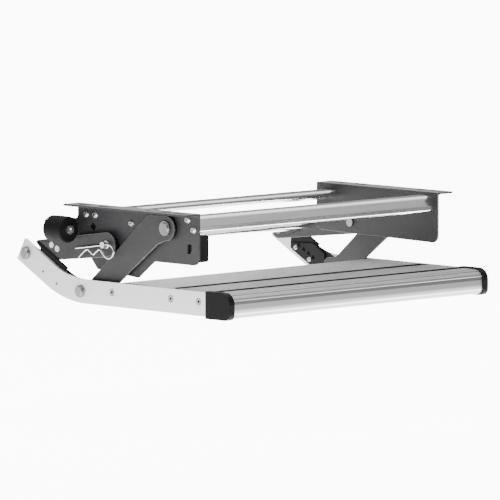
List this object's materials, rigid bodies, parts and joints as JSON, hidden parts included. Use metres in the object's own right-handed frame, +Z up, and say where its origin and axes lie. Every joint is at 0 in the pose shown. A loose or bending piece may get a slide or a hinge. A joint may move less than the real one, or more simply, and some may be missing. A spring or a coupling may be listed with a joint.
{
  "type": "caravan pull out step",
  "caption": "Pull out entrance step for a caravan: two steel brackets carry an aluminium tread on swinging arms and rear links.",
  "frame": {"origin": "halfway between the two round mounting holes, on the mounting plane at the top of the flanges", "axes": "+X to the step's right, +Y to the rear, under the vehicle, and +Z up"},
  "size_m": [0.5955, 0.4668, 0.1528],
  "materials": {
    "painted_steel": "satin grey powder coat",
    "extrusion": "polished anodised",
    "tread": "ribbed anodised",
    "strip": "matt anodised",
    "zinc": "zinc plated",
    "rivet": "zinc plated",
    "wire": "bright spring wire",
    "bumper": "moulded grey plastic",
    "spacer": "moulded",
    "black_plastic": "fine grained moulding",
    "rubber": "matt"
  },
  "bodies": {
    "frame": {"left_bracket": "painted_steel", "right_bracket": "painted_steel", "front_beam": "extrusion", "rear_member": "extrusion", "left_frame_screws": "zinc", "right_frame_screws": "zinc", "left_mid_nut": "zinc", "latch_block": "black_plastic", "buffer": "rubber", "buffer_screw": "zinc", "left_pivot_spacers": "spacer", "right_pivot_spacers": "spacer", "left_arm_pivot": "rivet", "right_arm_pivot": "rivet", "left_link_pin": "zinc", "right_link_pivot": "rivet", "hairpin_clip": "wire"},
    "arms": {"left_arm": "painted_steel", "right_arm": "painted_steel"},
    "rear_link": {"left_link": "painted_steel", "right_link": "painted_steel", "link_member": "extrusion", "left_link_screws": "zinc", "right_link_screws": "zinc", "left_link_stub": "rivet", "right_link_stub": "rivet"},
    "step": {"left_side_strip": "strip", "right_side_strip": "strip", "left_tread_screws": "zinc", "right_tread_screws": "zinc", "left_arm_rivet": "rivet", "right_arm_rivet": "rivet", "left_link_rivet": "rivet", "right_link_rivet": "rivet", "left_bumper": "bumper", "right_bumper": "bumper", "left_stop_pad": "rubber", "right_stop_pad": "rubber", "left_bumper_screws": "zinc", "right_bumper_screws": "zinc", "tread": "tread", "grip_inserts": "rubber", "left_end_cap": "black_plastic", "right_end_cap": "black_plastic"}
  },
  "joints": [
    {"name": "arm_swing", "type": "hinge", "parent": "frame", "child": "arms", "pos_m": [0, -0.0275, -0.0254], "axis": [-1, 0, 0], "range_deg": [0, 112.6]},
    {"name": "step_tilt", "type": "hinge", "parent": "arms", "child": "step", "pos_m": [0, 0.14772, -0.13181], "axis": [-1, 0, 0], "range_deg": [-112.7, 0]},
    {"name": "link_swing", "type": "hinge", "parent": "frame", "child": "rear_link", "pos_m": [0, 0.0968, -0.0582], "axis": [-1, 0, 0], "range_deg": [0, 159.5]}
  ],
  "couplings": [
    {"joint": "step_tilt", "follows": "arm_swing", "ratio": -1},
    {"joint": "link_swing", "follows": "arm_swing", "ratio": 1.4137}
  ]
}
